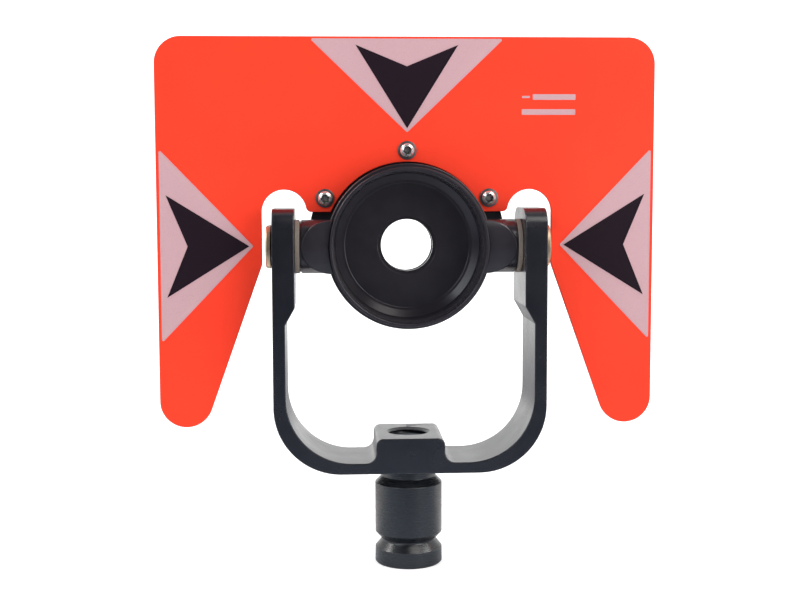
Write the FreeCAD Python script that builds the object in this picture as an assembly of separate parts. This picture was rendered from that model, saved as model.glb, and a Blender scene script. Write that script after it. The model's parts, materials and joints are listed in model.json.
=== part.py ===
"""Tilting prism holder with a sighting target, on a one-inch spigot.

The origin is the centre of the tilt axis. +X runs along that axis, the target faces -Y and +Z is up.
All lengths are millimetres.
"""
import FreeCAD, Part
import math
import os

V = FreeCAD.Vector
AXES = {"X": V(1, 0, 0), "Y": V(0, 1, 0), "Z": V(0, 0, 1)}

# Yoke: one strap bent round the head, with a tapped boss in its floor
YOKE_DEPTH = 31.0
YOKE_HALF_WIDTH = 50.4
EAR_TOP = 14.25
EAR_TOP_ROUND = 7.5
EAR_INNER = 42.2
ARM_INNER = 45.8
EAR_STEP = (-21.8, -28.1)
YOKE_UNDERSIDE = -83.5
YOKE_FLOOR = -79.4
OUTER_BEND = 25.0
INNER_BEND = 24.5
BOSS_HALF_WIDTH = 12.7
BOSS_TOP = -70.3
EDGE_BREAK = 0.4

# Spigot: a one-inch quick-release male end, held by a 5/8 inch stud
SPIGOT_R = 12.7
SPIGOT_COLLAR_R = 10.2
SPIGOT_GROOVE_R = 10.1
COLLAR_END = -87.1
SHOULDER = -89.6
GROOVE_TOP = -108.5
GROOVE_WAIST = -111.4
GROOVE_FOOT = -114.5
SPIGOT_END = -120.5
STUD_R = 7.9375
STUD_TOP = -72.3
STUD_FOOT = -97.0

# Tilt pivot: a slotted screw through each ear into the trunnion
TRUNNION_R = 10.05
TRUNNION_END = 40.5
FRICTION_WASHER = 1.65
PIVOT_BUSH_R = 6.0
PIVOT_SHANK_R = 4.0
PIVOT_THREAD_R = 3.0
PIVOT_THREAD_END = 35.8
PIVOT_HEAD_R = 8.15
PIVOT_HEAD = 1.8
COIN_SLOT = (4.7, 1.1)
WAVE_WASHER = (7.1, 0.7)
INSERT_R = 5.0
INSERT_END = 35.3
RUNNING_GAP = 0.05

# Housing: a cup that holds the round prism canister
CUP_FRONT = -12.0
CUP_RING_R = 29.4
CUP_SHOULDER = -7.0
CUP_R = 30.7
CUP_MOUTH_R = 28.3
SEAT_TOP = (2.6, 27.2)
CUP_FLOOR = 6.0
CUP_FLOOR_R = 24.0
CUP_BACK = 12.0
HUB_BACK = 16.0
HUB_R = 14.5
CANISTER_BORE_R = 9.85
CANISTER_CHAMFER = 1.35
LUG_CENTRE = 30.2
LUG_R = 10.0
LUG_CROWN_R = 22.0
LUG_FRONT = -10.15

# Target plate and the flange behind it
PLATE_FRONT = 3.8
PLATE_BACK = 5.8
PLATE_HALF_WIDTH = 93.8
PLATE_TOP = 77.9
PLATE_CORNER_R = 10.0
RING_CLEARANCE_R = 31.5
BRIDGE_UNDERSIDE = 12.7
SLOT_R = 8.4
SLOT_OUTER = 54.7
SLOT_FOOT_R = 2.0
LEG_ROOT = -7.0
LEG_TAPER = math.radians(19.7)
LEG_TIP_R = 10.0
FLANGE_BACK = 10.0
FLANGE_FOOT = 6.0
WING_TOP = (34.5, 17.5)
WING_FOOT = (36.8, 8.3)
LOBE_R = 5.2

# Plate screws, M3, three on one circle
SCREW_CIRCLE_R = 35.7
SCREW_ANGLES = (30.0, 90.0, 150.0)
SCREW_R = 1.5
SCREW_TIP = 12.5
SCREW_HEAD = (2.8, 2.05, 1.7)
SCREW_SOCKET = (2.0, 1.0)
SCREW_HOLE_R = 1.65
WASHER = (3.5, 0.5)
PLATE_INSERT_R = 2.1

# Retroreflective triangles and the black chevrons on them
FILM = 0.2
TRIANGLE_HALF_BASE = 36.3
TRIANGLE_HEIGHT = 34.7
TRIANGLE_BASE_TOP = 77.1
TRIANGLE_BASE_SIDE = 92.6
CHEVRON_HALF_WIDTH = 19.2
CHEVRON_HORN = 2.3
CHEVRON_NOTCH = 10.2
CHEVRON_TIP = 33.2


def rod(axis, start, stop, radius):
    """Cylinder along a named axis through the origin, between two stations on it."""
    low, high = sorted((start, stop))
    return Part.makeCylinder(radius, high - low, AXES[axis] * low, AXES[axis])


def tube(axis, start, stop, outer, inner):
    """Rod with a concentric hole."""
    return rod(axis, start, stop, outer).cut(rod(axis, start, stop, inner))


def turned(axis, profile):
    """Solid of revolution about a named axis, from a closed profile of (station, radius) points."""
    side = AXES["X"] if axis != "X" else AXES["Z"]
    points = [AXES[axis] * station + side * radius for station, radius in profile]
    face = Part.Face(Part.makePolygon(points + points[:1]))
    return face.revolve(V(0, 0, 0), AXES[axis], 360)


def corner_arc(before, here, after, radius):
    """Start, middle and end of the arc that rounds one corner."""
    back = (before - here).normalize()
    on = (after - here).normalize()
    half = back.getAngle(on) / 2
    reach = radius / math.tan(half)
    inward = (back + on).normalize()
    middle = here + inward * (radius / math.sin(half) - radius)
    return here + back * reach, middle, here + on * reach


def slab(corners, front, back):
    """Plate between two Y stations, from (x, z, radius) corners."""
    spots = [V(x, front, z) for x, z, _ in corners]
    edges = []
    joins = []
    for index, (_, _, radius) in enumerate(corners):
        here = spots[index]
        if radius == 0:
            joins.append((here, here))
            continue
        start, middle, end = corner_arc(spots[index - 1], here, spots[(index + 1) % len(spots)], radius)
        edges.append(Part.Arc(start, middle, end).toShape())
        joins.append((start, end))
    for index, (start, _) in enumerate(joins):
        previous = joins[index - 1][1]
        if previous.distanceToPoint(start) > 1e-6:
            edges.append(Part.makeLine(previous, start))
    wire = Part.Wire(Part.__sortEdges__(edges))
    return Part.Face(wire).extrude(AXES["Y"] * (back - front))


def both_sides(right_half):
    """Closed outline from its right half, mirrored in the YZ plane."""
    return right_half + [(-x, z, radius) for x, z, radius in reversed(right_half)]


def mirrored(shape, side):
    """The shape itself on the right, its mirror image on the left."""
    return shape if side > 0 else shape.mirror(V(0, 0, 0), AXES["X"])


def at_screws(shape):
    """Copies of a shape, one on each plate screw's axis."""
    copies = []
    for degrees in SCREW_ANGLES:
        angle = math.radians(degrees)
        offset = V(SCREW_CIRCLE_R * math.cos(angle), 0, SCREW_CIRCLE_R * math.sin(angle))
        copies.append(shape.translated(offset))
    return copies


def yoke_blank():
    """The bent strap, with its edges broken and its ears rounded."""
    step_top, step_foot = EAR_STEP
    half = [
        (YOKE_HALF_WIDTH, EAR_TOP, 0),
        (EAR_INNER, EAR_TOP, 0),
        (EAR_INNER, step_top, 0),
        (ARM_INNER, step_foot, 0),
        (ARM_INNER, YOKE_FLOOR, INNER_BEND),
        (BOSS_HALF_WIDTH, YOKE_FLOOR, 4.0),
        (BOSS_HALF_WIDTH, BOSS_TOP, 2.5),
    ]
    outline = both_sides(half) + [
        (-YOKE_HALF_WIDTH, YOKE_UNDERSIDE, OUTER_BEND),
        (YOKE_HALF_WIDTH, YOKE_UNDERSIDE, OUTER_BEND),
    ]
    blank = slab(outline, -YOKE_DEPTH / 2, YOKE_DEPTH / 2)
    ear_edges = [
        edge for edge in blank.Edges
        if abs(edge.CenterOfMass.z - EAR_TOP) < 0.01 and abs(abs(edge.CenterOfMass.x) - 46.5) < 0.5
        and abs(abs(edge.CenterOfMass.y) - YOKE_DEPTH / 2) < 0.01
    ]
    rounded = blank.makeFillet(EAR_TOP_ROUND, ear_edges)
    rim_edges = [
        edge for edge in rounded.Edges
        if edge.BoundBox.YLength < 0.01 and abs(abs(edge.CenterOfMass.y) - YOKE_DEPTH / 2) < 0.01
    ]
    return rounded.makeChamfer(EDGE_BREAK, rim_edges)


def yoke():
    """Strap with the two pivot holes and the tapped hole through its boss."""
    tapped = turned("Z", [
        (YOKE_UNDERSIDE - 1, 0), (YOKE_UNDERSIDE - 1, STUD_R),
        (BOSS_TOP - 0.6, STUD_R), (BOSS_TOP + 1, STUD_R + 1.6), (BOSS_TOP + 1, 0),
    ])
    pivots = rod("X", -YOKE_HALF_WIDTH - 1, YOKE_HALF_WIDTH + 1, PIVOT_BUSH_R)
    return yoke_blank().cut(tapped).cut(pivots)


def spigot():
    """Turned male end with a release groove and a tapped hole in its top."""
    body = turned("Z", [
        (YOKE_UNDERSIDE, 0), (YOKE_UNDERSIDE, SPIGOT_COLLAR_R), (COLLAR_END, SPIGOT_COLLAR_R),
        (SHOULDER, SPIGOT_R), (GROOVE_TOP, SPIGOT_R), (GROOVE_WAIST, SPIGOT_GROOVE_R),
        (GROOVE_FOOT, SPIGOT_R), (SPIGOT_END + 0.6, SPIGOT_R), (SPIGOT_END, SPIGOT_R - 0.6),
        (SPIGOT_END, 0),
    ])
    return body.cut(rod("Z", STUD_FOOT, YOKE_UNDERSIDE + 1, STUD_R))


def spigot_stud():
    """Headless stud that joins the spigot to the yoke's boss."""
    bevel = 1.4
    return turned("Z", [
        (STUD_FOOT, 0), (STUD_FOOT, STUD_R - bevel), (STUD_FOOT + bevel, STUD_R),
        (STUD_TOP - bevel, STUD_R), (STUD_TOP, STUD_R - bevel), (STUD_TOP, 0),
    ])


def pivot_bush(side):
    """Plain sleeve pressed into one ear."""
    sleeve = tube("X", EAR_INNER, YOKE_HALF_WIDTH, PIVOT_BUSH_R, PIVOT_SHANK_R + RUNNING_GAP)
    return mirrored(sleeve, side)


def wave_washer(side):
    """Spring washer that keeps the pivot under load, flattened between ear and screw head."""
    radius, thickness = WAVE_WASHER
    ring = tube("X", YOKE_HALF_WIDTH, YOKE_HALF_WIDTH + thickness, radius, PIVOT_SHANK_R + 0.3)
    return mirrored(ring, side)


def pivot_screw(side):
    """Brass screw: coin-slotted head, plain shank in the bush, thread in the trunnion insert."""
    seat = YOKE_HALF_WIDTH + WAVE_WASHER[1] + RUNNING_GAP
    top = seat + PIVOT_HEAD
    shank_end = TRUNNION_END + 0.3
    bevel = 0.4
    screw = turned("X", [
        (PIVOT_THREAD_END, 0), (PIVOT_THREAD_END, PIVOT_THREAD_R - bevel),
        (PIVOT_THREAD_END + bevel, PIVOT_THREAD_R), (shank_end, PIVOT_THREAD_R),
        (shank_end, PIVOT_SHANK_R), (seat, PIVOT_SHANK_R), (seat, PIVOT_HEAD_R),
        (top - bevel, PIVOT_HEAD_R), (top, PIVOT_HEAD_R - bevel), (top, 0),
    ])
    width, depth = COIN_SLOT
    slot = Part.makeBox(depth + 1, width, 2 * PIVOT_HEAD_R + 2,
                        V(top - depth, -width / 2, -PIVOT_HEAD_R - 1))
    return mirrored(screw.cut(slot), side)


def trunnion_insert(side):
    """Threaded brass insert moulded into the end of one trunnion."""
    bore = PIVOT_THREAD_R + RUNNING_GAP
    return mirrored(tube("X", INSERT_END, TRUNNION_END, INSERT_R, bore), side)


def friction_washer(side):
    """Fibre washer between trunnion and ear."""
    ring = tube("X", TRUNNION_END, TRUNNION_END + FRICTION_WASHER, TRUNNION_R, PIVOT_SHANK_R + 0.3)
    return mirrored(ring, side)


def cup():
    """Round cup open to the front, with a stepped rim, a conical seat and a threaded hub behind."""
    return turned("Y", [
        (CUP_FRONT, CUP_MOUTH_R), (CUP_FRONT, CUP_RING_R), (CUP_SHOULDER, CUP_RING_R), (CUP_SHOULDER, CUP_R),
        (CUP_BACK - 1, CUP_R), (CUP_BACK, CUP_R - 1), (CUP_BACK, HUB_R),
        (HUB_BACK - 0.5, HUB_R), (HUB_BACK, HUB_R - 0.5),
        (HUB_BACK, CANISTER_BORE_R + 0.5), (HUB_BACK - 0.5, CANISTER_BORE_R),
        (CUP_FLOOR + CANISTER_CHAMFER, CANISTER_BORE_R),
        (CUP_FLOOR, CANISTER_BORE_R + CANISTER_CHAMFER),
        (CUP_FLOOR, CUP_FLOOR_R - 0.9), (CUP_FLOOR - 0.9, CUP_FLOOR_R), SEAT_TOP,
    ])


def trunnions():
    """Two stub arms, each with a round-ended lug whose crowned front runs into the cup."""
    root = Part.makeBox(LUG_R, -LUG_FRONT, 2 * LUG_R, V(LUG_CENTRE - LUG_R, LUG_FRONT, -LUG_R))
    tip = rod("Y", LUG_FRONT, 0, LUG_R).translated(V(LUG_CENTRE, 0, 0))
    crown = rod("X", 0, TRUNNION_END, LUG_CROWN_R).translated(V(0, LUG_FRONT + LUG_CROWN_R, 0))
    lug = root.fuse(tip).common(crown)
    bowl = rod("Y", CUP_FRONT, CUP_BACK - 1, CUP_RING_R - 0.2)
    arm = rod("X", CUP_R - 2, TRUNNION_END, TRUNNION_R).fuse(lug).cut(bowl)
    return [mirrored(arm, side) for side in (1, -1)]


def flange():
    """Half-round web behind the target plate, with a lobe at each screw and wings down to the trunnions."""
    web = rod("Y", PLATE_BACK, FLANGE_BACK, SCREW_CIRCLE_R)
    wing_half = [(*WING_TOP, 0), (*WING_FOOT, 0), (WING_FOOT[0], FLANGE_FOOT, 0)]
    wings = slab(both_sides(wing_half), PLATE_BACK, FLANGE_BACK)
    lobe = rod("Y", PLATE_BACK, FLANGE_BACK, LOBE_R)
    outline = web.fuse([wings] + at_screws(lobe))
    reach = 2 * SCREW_CIRCLE_R
    lower_half = Part.makeBox(
        2 * reach, FLANGE_BACK, reach, V(-reach, PLATE_BACK - 1, FLANGE_FOOT - reach))
    return outline.cut(lower_half).cut(rod("Y", PLATE_BACK - 1, FLANGE_BACK + 1, CUP_R - 1))


def prism_housing():
    """One moulding: cup, two trunnions and the flange for the target plate."""
    body = cup().fuse(trunnions() + [flange()]).removeSplitter()
    sockets = [rod("X", side * INSERT_END, side * (TRUNNION_END + 1), INSERT_R) for side in (1, -1)]
    screw_holes = at_screws(rod("Y", PLATE_BACK - 1, FLANGE_BACK + 1, PLATE_INSERT_R))
    return body.cut(sockets + screw_holes)


def target_plate():
    """Flat target with slots round the ears, two tapered legs and an arch over the cup."""
    tip = LEG_ROOT - (PLATE_HALF_WIDTH - SLOT_OUTER) / math.tan(LEG_TAPER)
    half = [
        (PLATE_HALF_WIDTH, PLATE_TOP, PLATE_CORNER_R),
        (PLATE_HALF_WIDTH, tip, LEG_TIP_R),
        (SLOT_OUTER, LEG_ROOT, 6.0),
        (SLOT_OUTER, BRIDGE_UNDERSIDE, 0),
    ]
    blank = slab(both_sides(half), PLATE_FRONT, PLATE_BACK)
    slot_x = SLOT_OUTER - SLOT_R
    slot = rod("Y", PLATE_FRONT - 1, PLATE_BACK + 1, SLOT_R)
    slots = [slot.translated(V(x, 0, BRIDGE_UNDERSIDE)) for x in (slot_x, -slot_x)]
    slotted = blank.cut(slots)
    feet = [
        edge for edge in slotted.Edges
        if abs(edge.CenterOfMass.z - BRIDGE_UNDERSIDE) < 0.01
        and abs(abs(edge.CenterOfMass.x) - slot_x + SLOT_R) < 0.01
    ]
    holes = at_screws(rod("Y", PLATE_FRONT - 1, PLATE_BACK + 1, SCREW_HOLE_R))
    arch = rod("Y", PLATE_FRONT - 1, PLATE_BACK + 1, RING_CLEARANCE_R)
    return slotted.makeFillet(SLOT_FOOT_R, feet).cut([arch] + holes)


def plate_screws():
    """Button-head screws with a hexagon socket."""
    base_r, top_r, height = SCREW_HEAD
    seat = PLATE_FRONT - WASHER[1]
    top = seat - height
    screw = turned("Y", [
        (top, 0), (top, top_r), (seat - 0.5, base_r), (seat, base_r), (seat, SCREW_R),
        (SCREW_TIP - 0.4, SCREW_R), (SCREW_TIP, SCREW_R - 0.4), (SCREW_TIP, 0),
    ])
    across_flats, depth = SCREW_SOCKET
    corner = across_flats / math.sqrt(3)
    hexagon = [V(corner * math.cos(k * math.pi / 3), top, corner * math.sin(k * math.pi / 3)) for k in range(7)]
    socket = Part.Face(Part.makePolygon(hexagon)).extrude(AXES["Y"] * depth)
    return Part.makeCompound(at_screws(screw.cut(socket)))


def plate_washers():
    """Flat washers under the screw heads."""
    radius, thickness = WASHER
    ring = tube("Y", PLATE_FRONT - thickness, PLATE_FRONT, radius, SCREW_HOLE_R)
    return Part.makeCompound(at_screws(ring))


def plate_inserts():
    """Brass inserts in the flange lobes."""
    return Part.makeCompound(at_screws(tube("Y", PLATE_BACK, FLANGE_BACK, PLATE_INSERT_R, SCREW_R)))


def pointing_in(shape, degrees, base):
    """Turn a shape drawn below the origin about Y and move its base line out from the cup."""
    return shape.translated(AXES["Z"] * base).rotate(V(0, 0, 0), AXES["Y"], degrees)


def reflector(degrees, base):
    """Triangle of retroreflective film, its tip towards the cup."""
    face = slab([
        (-TRIANGLE_HALF_BASE, 0, 0.5), (TRIANGLE_HALF_BASE, 0, 0.5), (0, -TRIANGLE_HEIGHT, 0.5),
    ], PLATE_FRONT - FILM, PLATE_FRONT)
    return pointing_in(face, degrees, base)


def chevron(degrees, base):
    """Notched black arrowhead on the triangle."""
    face = slab([
        (-CHEVRON_HALF_WIDTH, -CHEVRON_HORN, 0), (0, -CHEVRON_NOTCH, 0),
        (CHEVRON_HALF_WIDTH, -CHEVRON_HORN, 0), (0, -CHEVRON_TIP, 0),
    ], PLATE_FRONT - 1.5 * FILM, PLATE_FRONT - FILM)
    return pointing_in(face, degrees, base)


NODES = {
    "yoke": yoke(),
    "spigot": spigot(),
    "spigot_stud": spigot_stud(),
    "prism_housing": prism_housing(),
    "target_plate": target_plate(),
    "plate_screws": plate_screws(),
    "plate_washers": plate_washers(),
    "plate_inserts": plate_inserts(),
}
for side_name, side in (("right", 1), ("left", -1)):
    for part in (pivot_bush, wave_washer, pivot_screw, trunnion_insert, friction_washer):
        NODES[f"{part.__name__}_{side_name}"] = part(side)
for place, degrees, base in (
    ("top", 0, TRIANGLE_BASE_TOP), ("right", 90, TRIANGLE_BASE_SIDE), ("left", -90, TRIANGLE_BASE_SIDE),
):
    NODES[f"reflector_{place}"] = reflector(degrees, base)
    NODES[f"chevron_{place}"] = chevron(degrees, base)

os.makedirs("parts", exist_ok=True)
for name, shape in NODES.items():
    shape.exportStep(f"parts/{name}.step")
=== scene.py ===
"""Looks for a tilting prism holder with a sighting target.

Everything is in metres in the part's own frame: the tilt axis is X through the origin, the target faces -Y
and +Z is up. Shapes of CAD nodes stay as packed unless a finer piece here stands for them.
"""
import json
import math

import bmesh
import bpy
from mathutils import Matrix, Quaternion, Vector
from mathutils.geometry import tessellate_polygon

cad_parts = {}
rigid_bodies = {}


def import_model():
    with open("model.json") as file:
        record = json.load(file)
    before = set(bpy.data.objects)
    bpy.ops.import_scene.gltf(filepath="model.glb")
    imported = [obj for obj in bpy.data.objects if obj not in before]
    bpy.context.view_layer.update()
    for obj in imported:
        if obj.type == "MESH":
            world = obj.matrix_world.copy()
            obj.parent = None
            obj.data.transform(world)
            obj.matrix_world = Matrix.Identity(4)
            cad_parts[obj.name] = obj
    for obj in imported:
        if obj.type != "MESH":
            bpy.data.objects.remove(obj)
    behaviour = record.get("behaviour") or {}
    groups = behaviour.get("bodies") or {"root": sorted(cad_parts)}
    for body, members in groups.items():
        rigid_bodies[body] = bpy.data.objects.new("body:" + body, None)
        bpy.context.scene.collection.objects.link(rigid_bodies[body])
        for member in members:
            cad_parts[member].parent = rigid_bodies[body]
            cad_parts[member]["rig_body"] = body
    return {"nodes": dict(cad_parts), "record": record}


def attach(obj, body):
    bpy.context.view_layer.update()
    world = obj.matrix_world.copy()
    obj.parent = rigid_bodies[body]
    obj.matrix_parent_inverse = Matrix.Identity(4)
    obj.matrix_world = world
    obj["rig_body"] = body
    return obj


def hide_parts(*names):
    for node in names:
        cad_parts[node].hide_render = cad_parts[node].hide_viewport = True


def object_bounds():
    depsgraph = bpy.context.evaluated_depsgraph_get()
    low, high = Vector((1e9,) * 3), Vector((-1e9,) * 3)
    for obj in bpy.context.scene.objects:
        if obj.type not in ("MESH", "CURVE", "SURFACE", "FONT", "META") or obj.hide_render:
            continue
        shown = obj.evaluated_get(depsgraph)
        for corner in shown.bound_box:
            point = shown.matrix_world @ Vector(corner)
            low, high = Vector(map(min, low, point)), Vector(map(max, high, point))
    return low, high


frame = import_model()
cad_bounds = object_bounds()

MM = 0.001
TINY = 1e-9
NODES = frame["nodes"]
SUBPARTS = {part["node"]: part for part in frame["record"]["subparts"]}

# Camera, from where the object is seen
CAMERA_PLACE = Vector((-30.25, -486.6, 24.0)) * MM
CAMERA_YAW = math.radians(3.2)
CAMERA_PITCH = math.radians(-5.2)
CAMERA_ROLL = math.radians(-0.15)
CAMERA_LENS = 58.5
LIGHT_DISTANCE = 1.3

# Edges that turn by more than this are shaded sharp
SHARPEST_SMOOTH = math.radians(50)

# Sizes that pieces share, in millimetres, with the plate screws' places in degrees about the cup
ARM_OUTSIDE = 50.4
STRAP_HALF_DEPTH = 15.5
STRAP_BOTTOM = -83.5
STUD_RADIUS = 7.94
STUD_PITCH = 2.31
TRUNNION_RADIUS = 10.05
TRUNNION_END = 40.5
SCREW_HEAD_BACK = 51.1
CANISTER_BORE = 9.85
PLATE_FRONT, PLATE_BACK, FLANGE_BACK = 3.8, 5.8, 10.0
SCREW_CIRCLE = 35.7
SCREW_PLACES = {"right": 30, "top": 90, "left": 150}

# Part of a noise's range that most of it lies in
MIDDLE = (0.3, 0.7)


class Graph:
    """Shader nodes, added one at a time."""

    def __init__(self, tree):
        self.tree = tree

    def node(self, kind, **values):
        """New node; values whose names match inputs are linked or set there, others are properties."""
        made = self.tree.nodes.new(kind)
        for key, value in values.items():
            if not key[0].isupper():
                setattr(made, key, value)
        for key, value in values.items():
            if key[0].isupper():
                self.feed(made, key.replace("_", " "), value)
        return made

    def feed(self, node, socket, value):
        """Link an output or set a plain value on one input."""
        target = node.inputs[socket]
        if isinstance(value, bpy.types.NodeSocket):
            self.tree.links.new(value, target)
        elif isinstance(value, tuple) and len(value) == 3 and target.type == "RGBA":
            target.default_value = (*value, 1.0)
        else:
            target.default_value = value

    def maths(self, operation, *terms, **values):
        """Result of one maths node."""
        made = self.node("ShaderNodeMath", operation=operation, **values)
        for index, term in enumerate(terms):
            self.feed(made, index, term)
        return made.outputs[0]

    def between(self, factor, low, high, start=0.0, end=1.0, **values):
        """Number that runs from low to high as factor runs from start to end."""
        made = self.node(
            "ShaderNodeMapRange", Value=factor, From_Min=start, From_Max=end, To_Min=low, To_Max=high,
            **values)
        return made.outputs[0]

    def mask(self, factor, start, end):
        """Number that runs from 0 to 1 as factor runs from start to end."""
        return self.between(factor, 0, 1, start, end)

    def blend(self, factor, first, second):
        """Colour mix."""
        made = self.node("ShaderNodeMix", data_type="RGBA")
        self.feed(made, 0, factor)
        self.feed(made, 6, first)
        self.feed(made, 7, second)
        return made.outputs[2]

    def ramp(self, factor, stops):
        """Colour that runs through (value, colour) stops as factor rises."""
        low, high = stops[0][0], stops[-1][0]
        made = self.node("ShaderNodeValToRGB", Fac=self.mask(factor, low, high))
        elements = made.color_ramp.elements
        for _ in stops[2:]:
            elements.new(0.5)
        for element, (value, colour) in zip(elements, stops):
            element.position = (value - low) / (high - low)
            element.color = (*colour, 1.0)
        return made.outputs["Color"]


class Paint(Graph):
    """One node material."""

    def __init__(self, name):
        self.material = bpy.data.materials.new(name)
        self.material.use_nodes = True
        super().__init__(self.material.node_tree)
        self.shader = self.tree.nodes["Principled BSDF"]
        self.place = self.node("ShaderNodeTexCoord").outputs["Object"]

    def noise(self, size, detail=3.0, stretch=(1, 1, 1)):
        """Noise with features of about size metres, optionally squeezed along an axis."""
        mapped = self.node("ShaderNodeMapping", Vector=self.place, Scale=stretch)
        made = self.node("ShaderNodeTexNoise", Vector=mapped.outputs[0], Scale=1 / size, Detail=detail)
        return made.outputs["Fac"]

    def bump(self, height, depth, strength=1.0):
        """Bump normal from a height of 0 to 1 that is depth metres high."""
        made = self.node("ShaderNodeBump", Height=height, Strength=strength, Distance=depth)
        return made.outputs[0]

    def edge_mask(self, radius, gain=4.0):
        """White along sharp edges, from how far a rounded normal leans off the true one."""
        rounded = self.node("ShaderNodeBevel", samples=4, Radius=radius).outputs[0]
        true = self.node("ShaderNodeNewGeometry").outputs["Normal"]
        agree = self.node("ShaderNodeVectorMath", operation="DOT_PRODUCT")
        self.tree.links.new(rounded, agree.inputs[0])
        self.tree.links.new(true, agree.inputs[1])
        return self.between(agree.outputs["Value"], gain, 0.0, 0.8, 1.0)

    def worn(self, radius, patches):
        """White where sharp edges and patches of a noise meet."""
        return self.maths("MULTIPLY", self.edge_mask(radius), patches, use_clamp=True)

    def finish(self, **values):
        """Set or link inputs of the surface shader and return the material."""
        for key, value in values.items():
            self.feed(self.shader, key.replace("_", " "), value)
        return self.material


def anodised():
    """Bead-blasted black anodising, a touch greyer where handling has polished its edges."""
    p = Paint("anodised_black")
    grain = p.noise(0.16 * MM, 2.0)
    cloud = p.noise(9 * MM, 3.0)
    tone = p.blend(p.mask(cloud, 0.35, 0.7), (0.0078, 0.0082, 0.0125), (0.0096, 0.0098, 0.0147))
    worn = p.worn(0.35 * MM, p.between(p.noise(2.5 * MM, 4.0), 0.0, 0.5, 0.45, 0.75))
    colour = p.blend(worn, tone, (0.16, 0.16, 0.165))
    return p.finish(
        Base_Color=colour, Roughness=p.between(cloud, 0.22, 0.28, *MIDDLE), IOR=1.65,
        Normal=p.bump(grain, 0.006 * MM, 0.5))


def turned_black():
    """Turned and anodised spigot with fine tool rings."""
    p = Paint("spigot_black")
    rings = p.noise(0.22 * MM, 2.0, (0.02, 0.02, 1))
    cloud = p.noise(12 * MM)
    tone = p.blend(p.mask(cloud, *MIDDLE), (0.0065, 0.0080, 0.0105), (0.0085, 0.0100, 0.0130))
    worn = p.worn(0.3 * MM, p.between(p.noise(1.8 * MM, 4.0), 0.0, 0.6, 0.45, 0.7))
    colour = p.blend(worn, tone, (0.20, 0.20, 0.21))
    return p.finish(
        Base_Color=colour, Roughness=p.between(rings, 0.24, 0.32, *MIDDLE), IOR=1.6,
        Normal=p.bump(rings, 0.004 * MM, 0.35))


def moulded():
    """Satin black moulding with a faint spark-eroded grain."""
    p = Paint("moulded_black")
    grain = p.noise(0.12 * MM, 2.0)
    cloud = p.noise(7 * MM)
    tone = p.blend(p.mask(cloud, *MIDDLE), (0.0225, 0.0198, 0.0252), (0.0258, 0.0228, 0.0286))
    return p.finish(
        Base_Color=tone, Roughness=p.between(cloud, 0.19, 0.25, *MIDDLE), IOR=1.5,
        Normal=p.bump(grain, 0.003 * MM, 0.4))


def orange():
    """Fluorescent orange sheet with a fine mottle."""
    p = Paint("target_orange")
    mottle = p.noise(1.1 * MM, 5.0)
    cloud = p.noise(40 * MM)
    base = p.blend(p.mask(cloud, *MIDDLE), (1.0, 0.046, 0.0165), (1.0, 0.053, 0.0185))
    colour = p.blend(p.between(mottle, 0.0, 0.35, 0.55, 0.8), base, (0.93, 0.044, 0.017))
    return p.finish(
        Base_Color=colour, Roughness=p.between(mottle, 0.44, 0.56, *MIDDLE), Specular_IOR_Level=0.2,
        Normal=p.bump(mottle, 0.006 * MM, 0.3))


def film():
    """Pale retroreflective film with its small cells."""
    p = Paint("reflective_film")
    cell_size = 0.45 * MM
    cells = p.node("ShaderNodeTexVoronoi", Vector=p.place, Scale=1 / cell_size, feature="DISTANCE_TO_EDGE")
    line = p.between(cells.outputs["Distance"], 1.0, 0.0, 0.02, 0.12)
    colour = p.blend(line, (0.590, 0.362, 0.388), (0.540, 0.327, 0.358))
    return p.finish(
        Base_Color=colour, Roughness=0.38, Specular_IOR_Level=0.4, Normal=p.bump(line, 0.004 * MM, 0.3))


def print_black():
    """Screen-printed black."""
    p = Paint("print_black")
    mottle = p.noise(0.7 * MM, 4.0)
    colour = p.blend(p.mask(mottle, 0.35, 0.7), (0.0130, 0.0056, 0.0112), (0.0155, 0.0068, 0.0134))
    return p.finish(
        Base_Color=colour, Roughness=p.between(mottle, 0.45, 0.55, *MIDDLE), Specular_IOR_Level=0.12,
        Normal=p.bump(mottle, 0.003 * MM, 0.3))


def metal(name, tint, roughness, turned_about=None, dull=0.7, metallic=1.0):
    """Machined metal, stained, with shade painted dark into its recesses, with tool rings about one axis if
    it was turned.
    """
    p = Paint(name)
    stretch = {"X": (1, 0.03, 0.03), "Z": (0.03, 0.03, 1)}.get(turned_about, (1, 1, 1))
    marks = p.noise(0.15 * MM, 3.0, stretch)
    stain = p.noise(1.6 * MM, 4.0)
    darker = tuple(channel * dull for channel in tint)
    colour = p.blend(p.mask(stain, 0.5, 0.75), tint, darker)
    # Painted shade: the colour darkens to a tenth of the tint where ambient occlusion finds a recess.
    open_sky = p.node("ShaderNodeAmbientOcclusion", samples=8, Distance=1.5 * MM).outputs["AO"]
    painted_recess_shade = tuple(channel * 0.1 for channel in tint)
    colour = p.blend(p.between(open_sky, 1.0, 0.0, 0.35, 0.85), colour, painted_recess_shade)
    rough = p.between(stain, roughness, roughness * 1.5, *MIDDLE)
    return p.finish(
        Base_Color=colour, Metallic=metallic, Roughness=rough, Normal=p.bump(marks, 0.003 * MM, 0.5))


def fibre():
    """Tan fibre washer."""
    p = Paint("fibre_tan")
    strands = p.noise(0.5 * MM, 5.0, (3, 1, 1))
    colour = p.blend(p.mask(strands, *MIDDLE), (0.190, 0.155, 0.130), (0.280, 0.240, 0.205))
    return p.finish(Base_Color=colour, Roughness=0.62, Normal=p.bump(strands, 0.02 * MM, 0.5))


def acetal():
    """Black plain-bearing plastic."""
    p = Paint("bush_black")
    grain = p.noise(0.3 * MM)
    colour = p.blend(grain, (0.012, 0.012, 0.013), (0.022, 0.022, 0.023))
    return p.finish(Base_Color=colour, Roughness=0.5, Normal=p.bump(grain, 0.004 * MM, 0.4))


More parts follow.
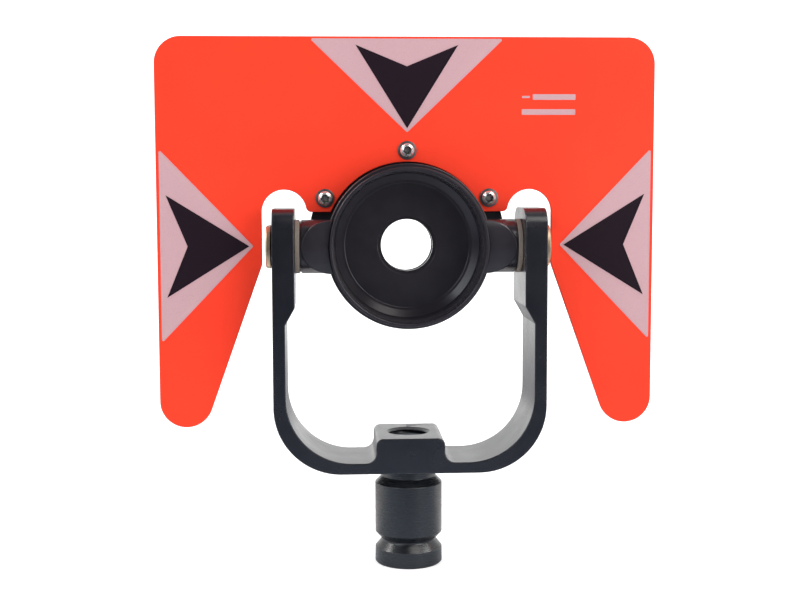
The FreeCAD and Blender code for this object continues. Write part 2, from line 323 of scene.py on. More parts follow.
def paints():
    """Material for each of the record's slots."""
    return {
        "anodised_black": anodised(),
        "spigot_black": turned_black(),
        "stud_steel": metal("stud_steel", (0.13, 0.145, 0.16), 0.36, "Z"),
        "moulded_black": moulded(),
        "target_orange": orange(),
        "stainless": metal("stainless", (0.86, 0.84, 0.82), 0.18, metallic=0.8),
        "washer_steel": metal("washer_steel", (0.17, 0.18, 0.18), 0.32),
        "brass": metal("brass", (0.66, 0.50, 0.33), 0.30, "X"),
        "bush_black": acetal(),
        "spring_steel": metal("spring_steel", (0.16, 0.16, 0.165), 0.35),
        "fibre_tan": fibre(),
        "reflective_film": film(),
        "print_black": print_black(),
    }


def dress_nodes(materials):
    """Give every CAD node the material of its slot."""
    for part in frame["record"]["subparts"]:
        slots = NODES[part["node"]].data.materials
        slots.clear()
        slots.append(materials[part["material_slot"]])


def chord(radius):
    """Angle between points on an arc whose chords stay within a hundredth of a millimetre of it."""
    sagitta, coarsest = 0.01, 0.7
    return 2 * math.acos(max(coarsest, 1 - sagitta / radius))


def arc(centre, radius, start, end):
    """Points along an arc between two angles in degrees, both ends included."""
    start, end = math.radians(start), math.radians(end)
    count = max(2, math.ceil(abs(end - start) / chord(radius)))
    angles = [start + (end - start) * k / count for k in range(count + 1)]
    return [(centre[0] + radius * math.cos(a), centre[1] + radius * math.sin(a)) for a in angles]


def eased(points, ease, closed=False):
    """Polyline with each corner turned into an arc of radius ease, or of the point's own third value."""
    straight, own_share, ease_share = math.pi - 0.02, 0.8, 0.48
    result = []
    for index, (u, v, *own) in enumerate(points):
        radius = own[0] if own else ease
        here = Vector((u, v))
        before = Vector(points[index - 1][:2]) - here
        after = Vector(points[(index + 1) % len(points)][:2]) - here
        loose_end = not closed and index in (0, len(points) - 1)
        if radius == 0 or loose_end or before.angle(after) > straight:
            result.append((u, v))
            continue
        half = before.angle(after) / 2
        share = own_share if own else ease_share
        reach = min(radius / math.tan(half), share * before.length, share * after.length)
        radius = reach * math.tan(half)
        centre = here + (before.normalized() + after.normalized()).normalized() * radius / math.sin(half)
        start = here + before.normalized() * reach - centre
        end = here + after.normalized() * reach - centre
        sweep = math.atan2(start.x * end.y - start.y * end.x, start.dot(end))
        count = max(2, math.ceil(abs(sweep) / chord(radius)))
        for k in range(count + 1):
            angle = sweep * k / count
            result.append((
                centre.x + start.x * math.cos(angle) - start.y * math.sin(angle),
                centre.y + start.x * math.sin(angle) + start.y * math.cos(angle)))
    return result


def spun(axis, station, radius, angle):
    """Point at a station and radius about an axis, in metres."""
    across, up = radius * math.cos(angle), radius * math.sin(angle)
    point = {"X": (station, across, up), "Y": (across, station, up), "Z": (across, up, station)}[axis]
    return Vector(point) * MM


def skin(bm, rows, closed=False):
    """Faces between successive rows of vertices; a row of one vertex is a pole."""
    pairs = list(zip(rows, rows[1:])) + ([(rows[-1], rows[0])] if closed else [])
    for near, far in pairs:
        for k in range(max(len(near), len(far))):
            near_side = [near[index % len(near)] for index in (k, k + 1)]
            far_side = [far[index % len(far)] for index in (k + 1, k)]
            corners = list(dict.fromkeys(near_side + far_side))
            if len(corners) > 2:
                bm.faces.new(corners)


def as_mesh(bm, name):
    """Mesh from a bmesh, its faces turned outwards."""
    bmesh.ops.recalc_face_normals(bm, faces=bm.faces)
    mesh = bpy.data.meshes.new(name)
    bm.to_mesh(mesh)
    bm.free()
    return mesh


def turned(axis, profile, closed=False, steps=128):
    """Surface of revolution from (station, radius) points: closed for a ring, open if it ends on its axis."""
    bm = bmesh.new()
    rows = []
    for station, radius in profile:
        angles = [2 * math.pi * k / steps for k in range(1 if radius < TINY else steps)]
        rows.append([bm.verts.new(spun(axis, station, radius, angle)) for angle in angles])
    skin(bm, rows, closed)
    return as_mesh(bm, "turned")


def rod(axis, start, stop, radius):
    """Plain cylinder."""
    return turned(axis, [(start, 0), (start, radius), (stop, radius), (stop, 0)])


def threaded(axis, start, stop, crest, root, pitch, bevel=0.0, steps=96):
    """Rod with a helical thread, its ends bevelled."""
    rows_per_turn, flank, crest_flat = 12, 2.7, 0.18
    rows_count = max(2, round((stop - start) / pitch * rows_per_turn))
    bm = bmesh.new()
    rows = [[bm.verts.new(spun(axis, start, 0, 0))]]
    for row in range(rows_count + 1):
        station = start + (stop - start) * row / rows_count
        limit = crest - max(0.0, bevel - min(station - start, stop - station))
        ring = []
        for k in range(steps):
            phase = (station / pitch - k / steps) % 1
            depth = min(1.0, max(0.0, flank * abs(phase - 0.5) - crest_flat))
            radius = min(limit, crest + (root - crest) * depth)
            ring.append(bm.verts.new(spun(axis, station, radius, 2 * math.pi * k / steps)))
        rows.append(ring)
    rows.append([bm.verts.new(spun(axis, stop, 0, 0))])
    skin(bm, rows)
    return as_mesh(bm, "threaded")


def inset(loop, amount):
    """Closed loop moved sideways to its left by amount, corner by corner."""
    result = []
    for index, point in enumerate(loop):
        here = Vector(point)
        before = here - Vector(loop[index - 1])
        after = Vector(loop[(index + 1) % len(loop)]) - here
        left_before = Vector((-before.y, before.x)).normalized()
        left_after = Vector((-after.y, after.x)).normalized()
        mitre = (left_before + left_after) / (1 + left_before.dot(left_after))
        result.append(here + mitre * amount)
    return result


def area(loop):
    """Signed area of a loop, positive when it runs anticlockwise."""
    return sum(a[0] * b[1] - b[0] * a[1] for a, b in zip(loop, loop[1:] + loop[:1])) / 2


def sheet(loops, front, back, ease):
    """Flat plate between two Y stations from closed (x, z) loops, outline first, with its rims eased."""
    bm = bmesh.new()
    rim_steps = 3
    quarter = [math.pi / 2 * k / rim_steps for k in range(rim_steps + 1)]
    rim = [(front + ease * (1 - math.sin(a)), ease * (1 - math.cos(a))) for a in reversed(quarter)]
    rim += [(front + back - y, amount) for y, amount in reversed(rim)]
    caps = [[], []]
    flat = [[], []]
    for index, loop in enumerate(loops):
        inward = (1 if area(loop) > 0 else -1) * (1 if index == 0 else -1)
        rows = []
        for y, amount in rim:
            rows.append([bm.verts.new(Vector((p.x, y, p.y)) * MM) for p in inset(loop, inward * amount)])
        skin(bm, rows)
        for side, row in enumerate((rows[0], rows[-1])):
            caps[side].extend(row)
            flat[side].append([Vector((v.co.x, v.co.z, 0)) for v in row])
    for verts, outlines in zip(caps, flat):
        for corners in tessellate_polygon(outlines):
            bm.faces.new([verts[k] for k in corners])
    return as_mesh(bm, "sheet")


def moved(mesh, x, z):
    """Copy of a mesh, shifted across the plate."""
    copy = mesh.copy()
    copy.transform(Matrix.Translation(Vector((x, 0, z)) * MM))
    return copy


def flipped(mesh):
    """Mirror image of a mesh in the YZ plane."""
    copy = mesh.copy()
    copy.transform(Matrix.Scale(-1, 4, (1, 0, 0)))
    copy.flip_normals()
    return copy


def worked(mesh, kind, **settings):
    """Mesh after one modifier."""
    holder = bpy.data.objects.new("holder", mesh)
    bpy.context.scene.collection.objects.link(holder)
    modifier = holder.modifiers.new("work", kind)
    for key, value in settings.items():
        setattr(modifier, key, value)
    result = bpy.data.meshes.new_from_object(holder.evaluated_get(bpy.context.evaluated_depsgraph_get()))
    bpy.data.objects.remove(holder)
    return result


def combined(mesh, other, operation="DIFFERENCE"):
    """Exact boolean of two meshes."""
    tool = bpy.data.objects.new("tool", other)
    bpy.context.scene.collection.objects.link(tool)
    result = worked(mesh, "BOOLEAN", operation=operation, solver="EXACT", object=tool)
    bpy.data.objects.remove(tool)
    return result


def edge_broken(mesh, width, segments=3, angle=28):
    """Mesh with its sharp edges rounded over."""
    return worked(
        mesh, "BEVEL", width=width * MM, segments=segments, limit_method="ANGLE",
        angle_limit=math.radians(angle), use_clamp_overlap=False, miter_outer="MITER_ARC")


def place(name, mesh, *nodes):
    """Show a mesh in place of CAD nodes, on their body and in their finish."""
    mesh.shade_smooth()
    mesh.set_sharp_from_angle(angle=SHARPEST_SMOOTH)
    piece = bpy.data.objects.new(name, mesh)
    bpy.context.scene.collection.objects.link(piece)
    weighted = piece.modifiers.new("flat_faces_first", "WEIGHTED_NORMAL")
    weighted.keep_sharp = True
    slot = SUBPARTS[nodes[0]]["material_slot"]
    mesh.materials.clear()
    mesh.materials.append(PAINTS[slot])
    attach(piece, NODES[nodes[0]]["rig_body"])
    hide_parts(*nodes)


def screw_spots():
    """Side name and (x, z) centre of each plate screw."""
    for side, degrees in SCREW_PLACES.items():
        angle = math.radians(degrees)
        yield side, (SCREW_CIRCLE * math.cos(angle), SCREW_CIRCLE * math.sin(angle))


def screw_loops(radius):
    """Circles for the plate screws' holes."""
    return [arc(spot, radius, 0, 360)[:-1] for _, spot in screw_spots()]


def bar(axis, points, start, stop):
    """Straight bar along X with a (y, z) section, or along Y with an (x, z) section."""
    bm = bmesh.new()
    rows = []
    for station in (start, stop):
        spots = [(station, u, v) if axis == "X" else (u, station, v) for u, v in points]
        rows.append([bm.verts.new(Vector(spot) * MM) for spot in spots])
    skin(bm, rows)
    for row in rows:
        bm.faces.new(row)
    return as_mesh(bm, "bar")


def make_yoke():
    """Bent strap with rounded ears, pivot holes and a tapped boss."""
    ear_top, ear_round, ear_inside = 14.25, 7.5, 42.2
    arm_inside, step_top, step_bottom, step_ease = 45.8, -21.8, -28.1, 0.8
    strap_floor, boss_top, boss_half_width = -79.4, -70.3, 12.7
    outer_bend, inner_bend, boss_foot_bend, boss_top_bend = 25.0, 24.5, 4.0, 2.5
    bush_hole, broken_edge, past = 6.0, 0.4, 1.0
    half = eased([
        (0, STRAP_BOTTOM), (ARM_OUTSIDE, STRAP_BOTTOM, outer_bend), (ARM_OUTSIDE, ear_top),
        (ear_inside, ear_top), (ear_inside, step_top, step_ease), (arm_inside, step_bottom, step_ease),
        (arm_inside, strap_floor, inner_bend), (boss_half_width, strap_floor, boss_foot_bend),
        (boss_half_width, boss_top, boss_top_bend), (0, boss_top),
    ], 0)
    loop = half + [(-x, z) for x, z in reversed(half[1:-1])]
    body = bar("Y", loop, -STRAP_HALF_DEPTH, STRAP_HALF_DEPTH)
    corner_y, corner_z = STRAP_HALF_DEPTH - ear_round, ear_top - ear_round
    waste = arc((corner_y, corner_z), ear_round, 0, 90)
    waste += [(corner_y, ear_top + past), (STRAP_HALF_DEPTH + past, ear_top + past)]
    waste += [(STRAP_HALF_DEPTH + past, corner_z)]
    for side in (1, -1):
        cutter = bar("X", [(y * side, z) for y, z in waste], -ARM_OUTSIDE - past, ARM_OUTSIDE + past)
        body = combined(body, cutter)
    body = combined(body, rod("X", -ARM_OUTSIDE - past, ARM_OUTSIDE + past, bush_hole))
    body = edge_broken(body, broken_edge)
    tapped_from, overlap, thread_root = -72.4, 0.2, 7.1
    sink_depth, sink_narrow, sink_wide = 0.9, 7.4, 9.3
    body = combined(body, rod("Z", STRAP_BOTTOM - past, tapped_from, STUD_RADIUS))
    tapped = threaded("Z", tapped_from - overlap, boss_top + past, STUD_RADIUS, thread_root, STUD_PITCH)
    body = combined(body, tapped)
    low, high = boss_top - sink_depth, boss_top + past
    body = combined(body, turned("Z", [(low, 0), (low, sink_narrow), (high, sink_wide), (high, 0)]))
    place("yoke_strap", body, "yoke")


def make_spigot():
    """Turned quick-release end and the stud that holds it."""
    radius, neck_radius, waist_radius, chamfer = 12.7, 10.2, 10.1, 0.6
    stud_bottom, neck_end, cone_end, bottom = -97.0, -87.1, -89.6, -120.5
    waist_top, waist, waist_bottom = -108.5, -111.4, -114.5
    profile = eased([
        (stud_bottom, 0), (stud_bottom, STUD_RADIUS), (STRAP_BOTTOM, STUD_RADIUS, 0.1),
        (STRAP_BOTTOM, neck_radius), (neck_end, neck_radius, 0.4), (cone_end, radius),
        (waist_top, radius), (waist, waist_radius, 0.8),
        (waist_bottom, radius), (bottom + chamfer, radius), (bottom, radius - chamfer), (bottom, 0),
    ], 0.25)
    stud_top, stud_crest, stud_root, stud_bevel = -72.3, 7.9, 6.7, 1.4
    stud = threaded("Z", stud_bottom, stud_top, stud_crest, stud_root, STUD_PITCH, bevel=stud_bevel)
    place("spigot_turned", turned("Z", profile, steps=160), "spigot")
    place("stud_threaded", stud, "spigot_stud")


def cup_mesh():
    """Cup with a stepped rim, a fine thread in its mouth, a conical seat and a hub with a plain bore."""
    front, shoulder, back, hub_end, cup_floor = -12.0, -7.0, 12.0, 16.0, 6.0
    mouth_radius, rim_radius, radius, hub_radius = 28.3, 29.4, 30.7, 14.5
    back_chamfer, hub_chamfer, bore_chamfer, floor_chamfer = 1.0, 0.5, 1.35, 0.9
    floor_radius, seat_top, seat_radius = 23.7, 3.1, 27.2
    turns, first_turn, pitch, groove, taper, flat = 7, -9.9, 1.5, 0.25, 0.075, 0.04
    mouth = []
    for turn in range(turns):
        near = first_turn + pitch * turn
        crest = mouth_radius - taper * (near - front)
        mouth += [
            (near, crest, 0.12), (near + pitch / 3, crest + groove, 0.1),
            (near + 2 * pitch / 3, crest - flat, 0.12)]
    profile = eased([
        (front, mouth_radius, 0.35), (front, rim_radius, 0.25), (shoulder, rim_radius, 0.1),
        (shoulder, radius, 0.4), (back - back_chamfer, radius, 0.3), (back, radius - back_chamfer, 0.3),
        (back, hub_radius, 0.8),
        (hub_end - hub_chamfer, hub_radius, 0.2), (hub_end, hub_radius - hub_chamfer, 0.2),
        (hub_end, CANISTER_BORE + hub_chamfer, 0.2), (hub_end - hub_chamfer, CANISTER_BORE, 0.1),
        (cup_floor + bore_chamfer, CANISTER_BORE, 0.1), (cup_floor, CANISTER_BORE + bore_chamfer, 0.25),
        (cup_floor, floor_radius, 0.5), (cup_floor - floor_chamfer, floor_radius + floor_chamfer, 0.5),
        (seat_top, seat_radius, 0.3),
    ] + list(reversed(mouth)), 0.3, closed=True)
    return turned("Y", profile, closed=True, steps=192)


def lug_mesh():
    """Round-ended pad on the front of the right trunnion: crowned, its rim rounded over."""
    start, centre, reach, half_height, ease = 22.0, 28.3, 11.9, 10.0, 0.65
    crown_radius, front, back = 22.0, -10.2, -0.3
    rim_steps, tip_steps = 5, 60
    rim = [math.pi / 2 * k / rim_steps for k in range(rim_steps + 1)]
    steps = [(ease * (1 - math.cos(a)), ease * (1 - math.sin(a))) for a in rim]
    steps += [(half_height * share, 0.0) for share in (0.2, 0.4, 0.6, 0.8, 0.95)]

    def row(shrink, depth):
        scale = 1 - shrink / half_height
        half = half_height * scale
        round_end = [math.pi * (k / tip_steps - 0.5) for k in range(tip_steps + 1)]
        spots = [(centre + reach * scale * math.cos(a), half * math.sin(a)) for a in round_end]
        spots = [(start, -half)] + spots + [(start, half)]
        return [bm.verts.new(Vector((x, depth(z), z)) * MM) for x, z in spots]

    def crowned(z):
        return front + crown_radius - math.sqrt(crown_radius ** 2 - z ** 2)

    bm = bmesh.new()
    rows = [row(0.0, lambda z: back)]
    for shrink, drop in steps:
        rows.append(row(shrink, lambda z: crowned(z) + drop))
    for near, far in zip(rows, rows[1:]):
        for k in range(len(near) - 1):
            bm.faces.new((near[k], near[k + 1], far[k + 1], far[k]))
    last = rows[-1]
    for k in range(len(last) // 2):
        bm.faces.new(list(dict.fromkeys((last[k], last[k + 1], last[-2 - k], last[-1 - k]))))
    bm.faces.new(rows[0])
    bm.faces.new([points[0] for points in rows] + [points[-1] for points in reversed(rows)])
    return as_mesh(bm, "lug")


def trunnion_mesh():
    """Right trunnion with its lug, hollowed to clear the cup."""
    start, groove_start, groove_radius, bore_start, bore_radius, past = 26.0, 39.8, 9.5, 35.3, 5.0, 1.5
    arm = turned("X", eased([
        (start, 0), (start, TRUNNION_RADIUS, 0), (groove_start, TRUNNION_RADIUS),
        (groove_start, groove_radius, 0), (TRUNNION_END, groove_radius), (TRUNNION_END, 0),
    ], 0.12))
    bore = rod("X", bore_start, TRUNNION_END + past, bore_radius)
    rim_clearance, wall_middle, step, bowl_front, bowl_back = 29.85, 29.2, -7.2, -13.0, 11.5
    bowl = turned("Y", [
        (bowl_front, 0), (bowl_front, rim_clearance), (step, rim_clearance), (step, wall_middle),
        (bowl_back, wall_middle), (bowl_back, 0),
    ], steps=192)
    return combined(combined(combined(arm, bowl), combined(lug_mesh(), bowl), "UNION"), bore)


def flange_mesh():
    """Web behind the target plate: half ring, a lobe at each screw, wings down to the trunnions."""
    lobe, foot, foot_x, wing_top, inner_radius = 5.2, 6.0, 36.8, 17.5, 28.9
    hole_radius, rim_ease, count = 2.1, 0.3, 360
    wing = [Vector(p) for p in ((0, wing_top), (34.5, wing_top), (foot_x, 8.3), (foot_x, 5.0))]

    def reach(angle):
        along = Vector((abs(math.cos(angle)), math.sin(angle)))
        best = SCREW_CIRCLE
        for degrees in SCREW_PLACES.values():
            apart = angle - math.radians(degrees)
            clear = lobe ** 2 - (SCREW_CIRCLE * math.sin(apart)) ** 2
            if clear > 0 and math.cos(apart) > 0:
                best = max(best, SCREW_CIRCLE * math.cos(apart) + math.sqrt(clear))
        for a, b in zip(wing, wing[1:]):
            span = b - a
            cross = along.x * span.y - along.y * span.x
            if abs(cross) < TINY:
                continue
            distance = (a.x * span.y - a.y * span.x) / cross
            where = (a.x * along.y - a.y * along.x) / cross
            if distance > 0 and -TINY <= where <= 1 + TINY:
                best = max(best, distance)
        return best

    low = math.atan2(foot, foot_x)
    angles = [low + (math.pi - 2 * low) * k / count for k in range(count + 1)]
    outer = [(reach(a) * math.cos(a), reach(a) * math.sin(a)) for a in angles]
    inner_low = math.degrees(math.asin(foot / inner_radius))
    inner = arc((0, 0), inner_radius, 180 - inner_low, inner_low)
    return sheet([outer + inner] + screw_loops(hole_radius), PLATE_BACK, FLANGE_BACK, rim_ease)


def make_housing():
    """One moulding: cup, trunnions and flange."""
    thread_start, thread_end, thread_crest, thread_pitch = 9.0, 16.6, 10.4, 1.0
    arm = trunnion_mesh()
    body = combined(cup_mesh(), arm, "UNION")
    body = combined(body, flipped(arm), "UNION")
    body = combined(body, flange_mesh(), "UNION")
    tap = threaded("Y", thread_start, thread_end, thread_crest, CANISTER_BORE, thread_pitch)
    place("housing_moulding", combined(body, tap), "prism_housing")


def make_plate():
    """Target sheet with slots round the ears, tapered legs and an arch over the cup."""
    half_width, top, corner, arch_radius = 93.8, 77.9, 10.0, 31.5
    slot_x, slot_z, slot_radius, nib = 46.3, 12.7, 8.4, 2.0
    leg_top, leg_round, leg_slope = -7.0, 6.0, math.tan(math.radians(19.7))
    hole_radius, rim_ease = 1.65, 0.25
    leg_inside = slot_x + slot_radius
    tip = leg_top - (half_width - leg_inside) / leg_slope
    nib_x = slot_x - math.sqrt((slot_radius + nib) ** 2 - nib ** 2)
    nib_angle = math.degrees(math.asin(nib / (slot_radius + nib)))
    right = eased([
        (0, top), (half_width, top, corner), (half_width, tip, corner), (leg_inside, leg_top, leg_round),
        (leg_inside, slot_z, 0),
    ], 0)[1:-1]
    right += arc((slot_x, slot_z), slot_radius, 0, 180 - nib_angle)
    right += arc((nib_x, slot_z + nib), nib, -nib_angle, -90)[1:]
    right += arc((0, 0), arch_radius, math.degrees(math.asin(slot_z / arch_radius)), 90)[:-1]
    loop = right + [(0, arch_radius)] + [(-x, z) for x, z in reversed(right)]
    mesh = sheet([loop] + screw_loops(hole_radius), PLATE_FRONT, PLATE_BACK, rim_ease)
    place("target_sheet", mesh, "target_plate")


def make_screws():
    """Button-head screws with hexagon sockets, and the flat washers under them."""
    dome_centre, dome_radius, rim_start, rim_radius = 4.45, 3.1, 3.05, 2.72
    washer_front, washer_radius, washer_hole = 3.3, 3.5, 1.65
    shank_radius, shank_end, tip, thread_root, thread_pitch = 1.5, 10.0, 12.5, 1.2, 0.5
    flats, socket_floor, socket_bevel, twist = 2.9, 4.0, 0.12, 0.26
    mouth, mouth_grow, overlap, tip_bevel = 1.0, 1.3, 0.1, 0.35
    face_edge, dome_step, dome_count = 26, 4, 10
    angles = [math.radians(face_edge + dome_step * k) for k in range(dome_count)]
    dome = [(dome_centre - dome_radius * math.cos(a), dome_radius * math.sin(a)) for a in angles]
    face = dome[0][0]
    head = turned("Y", [(face, 0)] + dome + eased([
        (rim_start, rim_radius), (washer_front, rim_radius, 0.08), (washer_front, shank_radius, 0),
        (shank_end, shank_radius, 0), (shank_end, 0, 0),
    ], 0), steps=96)
    corner = flats / 2 / math.cos(math.radians(30))
    socket = bmesh.new()
    rows = []
    hexagon = [math.pi / 3 * k + twist for k in range(6)]
    for y, grow in ((mouth, mouth_grow), (face + socket_bevel, 1.0), (socket_floor, 1.0)):
        rows.append([socket.verts.new(spun("Y", y, corner * grow, angle)) for angle in hexagon])
    skin(socket, rows)
    socket.faces.new(rows[0])
    socket.faces.new(rows[-1])
    thread = threaded(
        "Y", shank_end - overlap, tip, shank_radius, thread_root, thread_pitch, bevel=tip_bevel, steps=48)
    screw = combined(combined(head, as_mesh(socket, "socket")), thread, "UNION")
    washer = turned("Y", eased([
        (washer_front, washer_hole), (washer_front, washer_radius), (PLATE_FRONT, washer_radius),
        (PLATE_FRONT, washer_hole),
    ], 0.12, closed=True), closed=True, steps=96)
    for side, (x, z) in screw_spots():
        place(f"plate_screw_{side}", moved(screw, x, z), "plate_screws")
    for side, (x, z) in screw_spots():
        place(f"plate_washer_{side}", moved(washer, x, z), "plate_washers")


def wave_ring():
    """Spring washer with three waves, between the right ear and its screw head."""
    inner_radius, outer_radius, thick, waves, steps = 4.4, 7.1, 0.22, 3, 96
    section = [(0, inner_radius), (0, outer_radius), (thick, outer_radius), (thick, inner_radius)]
    section = eased(section, 0.07, closed=True)
    bm = bmesh.new()
    rows = []
    for k in range(steps):
        angle = 2 * math.pi * k / steps
        lift = (SCREW_HEAD_BACK - ARM_OUTSIDE - thick) * (1 + math.sin(waves * angle)) / 2
        near = ARM_OUTSIDE + lift
        rows.append([bm.verts.new(spun("X", near + x, radius, angle)) for x, radius in section])
    skin(bm, rows, closed=True)
    return as_mesh(bm, "wave")


def make_pivots():
    """Coin-slotted brass screws, wave washers and fibre washers on both sides."""
    tip, tip_chamfer, thread_end, thread_radius, shank_radius = 35.8, 0.4, 40.8, 3.0, 4.0
    head_back, head_face, head_radius, head_chamfer = 51.15, 52.95, 8.15, 0.4
    slot_floor, slot_half_width, slot_half_length, past = 51.85, 2.35, 9.5, 1.05
    screw = turned("X", eased([
        (tip, 0), (tip, thread_radius - tip_chamfer, 0), (tip + tip_chamfer, thread_radius, 0),
        (thread_end, thread_radius, 0), (thread_end, shank_radius), (head_back, shank_radius, 0),
        (head_back, head_radius), (head_face - head_chamfer, head_radius),
        (head_face, head_radius - head_chamfer), (head_face, 0),
    ], 0.12))
    corners = [(slot_half_width * a, slot_half_length * b) for a, b in ((-1, -1), (1, -1), (1, 1), (-1, 1))]
    screw = combined(screw, bar("X", corners, slot_floor, head_face + past))
    washer_hole, washer_face, broken_edge = 4.3, 42.15, 0.12
    screw = edge_broken(screw, broken_edge, segments=2, angle=35)
    fibre_ring = turned("X", eased([
        (TRUNNION_END, washer_hole), (TRUNNION_END, TRUNNION_RADIUS), (washer_face, TRUNNION_RADIUS),
        (washer_face, washer_hole),
    ], 0.2, closed=True), closed=True)
    wave = wave_ring()
    for side, turn in (("right", lambda mesh: mesh), ("left", flipped)):
        place(f"pivot_screw_head_{side}", turn(screw), f"pivot_screw_{side}")
        place(f"wave_spring_{side}", turn(wave), f"wave_washer_{side}")
        place(f"fibre_ring_{side}", turn(fibre_ring), f"friction_washer_{side}")


def make_print():
    """Plain pale bars printed at the plate's upper right."""
    ease, proud, sunk, rim = 0.3, 0.06, 0.03, 0.02
    bars = ((44.8, 55.6, 3.0, 0.8), (55.5, 55.6, 16.2, 2.1), (53.4, 50.0, 20.3, 2.1))
    for index, (x, z, width, height) in enumerate(bars):
        corners = [(x + a * width / 2, z + b * height / 2) for a, b in ((-1, -1), (1, -1), (1, 1), (-1, 1))]
        loop = eased([(*corner, ease) for corner in corners], ease, closed=True)
        mesh = sheet([loop], PLATE_FRONT - proud, PLATE_FRONT + sunk, rim)
        piece = bpy.data.objects.new(f"print_bar_{index + 1}", mesh)
        bpy.context.scene.collection.objects.link(piece)
        mesh.materials.append(PAINTS["reflective_film"])
        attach(piece, NODES["target_plate"]["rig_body"])


def softbox(name, towards, size, power, tint=(1.0, 1.0, 1.0)):
    """Rectangular area light that faces the object from a direction."""
    data = bpy.data.lights.new(name, "AREA")
    data.shape = "RECTANGLE"
    data.size, data.size_y = size
    data.energy = power
    data.color = tint
    lamp = bpy.data.objects.new(name, data)
    bpy.context.scene.collection.objects.link(lamp)
    direction = Vector(towards).normalized()
    lamp.location = direction * LIGHT_DISTANCE
    lamp.rotation_euler = (-direction).to_track_quat("-Z", "Y").to_euler()


def surroundings():
    """White light from behind, above and the sides, a dark room in front; pale where the camera looks."""
    dark, bright, dark_until, bright_from, lean = 0.02, 0.85, -0.6, 0.1, -0.3
    world = bpy.data.worlds.new("studio")
    bpy.context.scene.world = world
    world.use_nodes = True
    g = Graph(world.node_tree)
    direction = g.node("ShaderNodeSeparateXYZ", Vector=g.node("ShaderNodeTexCoord").outputs["Generated"])
    height, back = direction.outputs["Z"], direction.outputs["Y"]
    backwards = g.maths("MULTIPLY_ADD", g.maths("MULTIPLY", height, height), lean, back)
    room = g.between(backwards, dark, bright, dark_until, bright_from, interpolation_type="SMOOTHSTEP")
    seen = g.node("ShaderNodeLightPath").outputs["Is Camera Ray"]
    background = g.tree.nodes["Background"]
    g.feed(background, "Strength", g.maths("MAXIMUM", room, seen))
    g.feed(background, "Color", (1.0, 1.0, 1.0))


def floor_paper():
    """Pale paper with painted reflections: glossy rays see a painted ramp, darker in front of the object; not
    seen at all from below.
    """
    # Painted reflections: glossy rays see these colours along the paper's depth instead of its own, dark in
    # front of the object and bright just under it and far behind.
    painted_reflection_colours = (
        (-1.1, (0.02, 0.02, 0.02)), (-0.6, (0.10, 0.125, 0.17)), (-0.24, (0.10, 0.125, 0.17)),
        (-0.04, (0.45, 0.52, 0.62)), (0.04, (0.92, 0.92, 0.92)), (0.15, (0.42, 0.43, 0.44)),
        (0.5, (0.46, 0.46, 0.47)), (1.0, (0.92, 0.92, 0.92)))
    paper = (0.80, 0.80, 0.80)
    glow_behind, glow_start, glow_full = 0.65, 0.4, 1.0
    seen_near, seen_far, near, far = 0.5, 1.0, 0.3, 1.2
    p = Paint("floor_paper")
    depth = p.node("ShaderNodeSeparateXYZ", Vector=p.place).outputs["Y"]
    path = p.node("ShaderNodeLightPath").outputs
    away = p.node("ShaderNodeVectorMath", operation="LENGTH")
    p.feed(away, 0, p.place)
    seen = p.between(away.outputs["Value"], seen_near, seen_far, near, far)
    glow = p.maths(
        "MAXIMUM", p.between(depth, 0.0, glow_behind, glow_start, glow_full),
        p.maths("MULTIPLY", seen, path["Is Camera Ray"]))
    material = p.finish(
        Base_Color=p.blend(path["Is Glossy Ray"], paper, p.ramp(depth, painted_reflection_colours)), Roughness=0.9,
        Specular_IOR_Level=0.0, Emission_Color=(1.0, 1.0, 1.0), Emission_Strength=glow,
        Normal=p.bump(p.noise(3 * MM), 0.01 * MM, 0.2))
    one_sided = p.node("ShaderNodeMixShader", Fac=p.node("ShaderNodeNewGeometry").outputs["Backfacing"])
    p.feed(one_sided, 1, p.shader.outputs["BSDF"])
    p.feed(one_sided, 2, p.node("ShaderNodeBsdfTransparent").outputs["BSDF"])
    p.feed(p.tree.nodes["Material Output"], "Surface", one_sided.outputs[0])
    return material


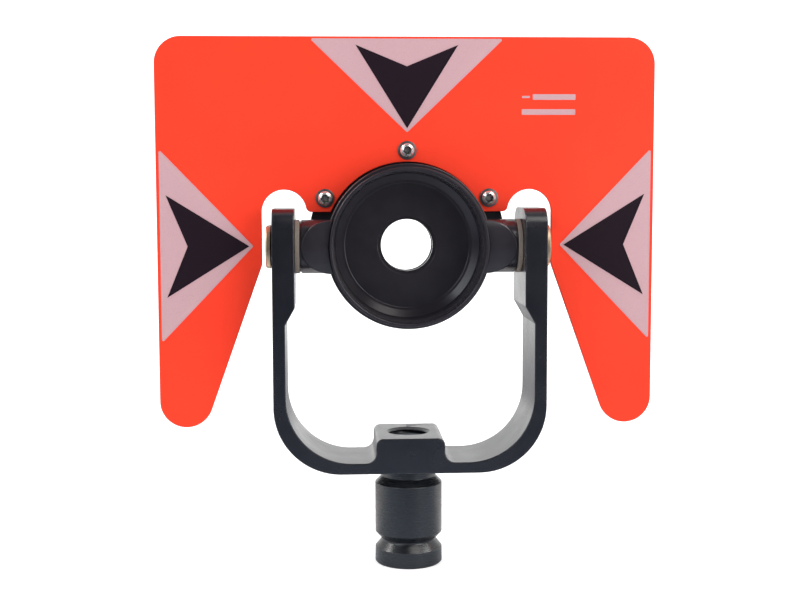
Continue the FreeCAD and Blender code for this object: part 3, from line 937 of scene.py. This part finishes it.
def floor():
    """Sweep that the spigot stands on, curving up behind."""
    bottom = cad_bounds[0].z
    half_width, front, bend_start, bend, height, bend_steps = 2.5, -2.0, 1.2, 0.8, 3.0, 16
    profile = [(front, bottom), (bend_start, bottom)]
    for step in range(1, bend_steps + 1):
        angle = math.pi / 2 * step / bend_steps
        profile.append((bend_start + bend * math.sin(angle), bottom + bend * (1 - math.cos(angle))))
    profile.append((bend_start + bend, bottom + height))
    vertices = [(x, y, z) for y, z in profile for x in (-half_width, half_width)]
    faces = [(2 * k, 2 * k + 1, 2 * k + 3, 2 * k + 2) for k in range(len(profile) - 1)]
    mesh = bpy.data.meshes.new("floor")
    mesh.from_pydata(vertices, [], faces)
    mesh.shade_smooth()
    mesh.materials.append(floor_paper())
    sweep = bpy.data.objects.new("floor", mesh)
    bpy.context.scene.collection.objects.link(sweep)


def camera():
    """Camera at the viewing angle the object is known from."""
    data = bpy.data.cameras.new("camera")
    data.lens = CAMERA_LENS
    data.clip_start, data.clip_end = 0.01, 20
    seat = bpy.data.objects.new("camera", data)
    bpy.context.scene.collection.objects.link(seat)
    forward = Vector((
        math.sin(CAMERA_YAW) * math.cos(CAMERA_PITCH), math.cos(CAMERA_YAW) * math.cos(CAMERA_PITCH),
        math.sin(CAMERA_PITCH)))
    seat.location = CAMERA_PLACE
    seat.rotation_mode = "QUATERNION"
    seat.rotation_quaternion = forward.to_track_quat("-Z", "Y") @ Quaternion((0, 0, 1), CAMERA_ROLL)
    bpy.context.scene.camera = seat


def studio():
    """Lights, floor, world and camera."""
    bpy.context.scene.view_settings.view_transform = "Standard"
    surroundings()
    big, wide, small, strip = (0.7, 0.9), (0.7, 0.6), (0.4, 0.5), (0.35, 0.8)
    softbox("key_left", (-0.75, -0.62, 0.45), big, 5.5, (0.93, 0.98, 1.05))
    softbox("key_right", (0.64, -0.75, 0.22), big, 8)
    softbox("top", (0.33, -0.51, 0.79), wide, 3.6, (1.0, 0.97, 0.94))
    softbox("fill", (-0.41, -0.88, 0.21), small, 0.6)
    softbox("strip_left", (-0.73, 0.05, 0.68), strip, 10.5)
    softbox("strip_right", (0.64, -0.08, 0.76), strip, 7)
    floor()
    camera()


PAINTS = paints()
dress_nodes(PAINTS)
make_yoke()
make_spigot()
make_housing()
make_plate()
make_screws()
make_pivots()
make_print()
studio()
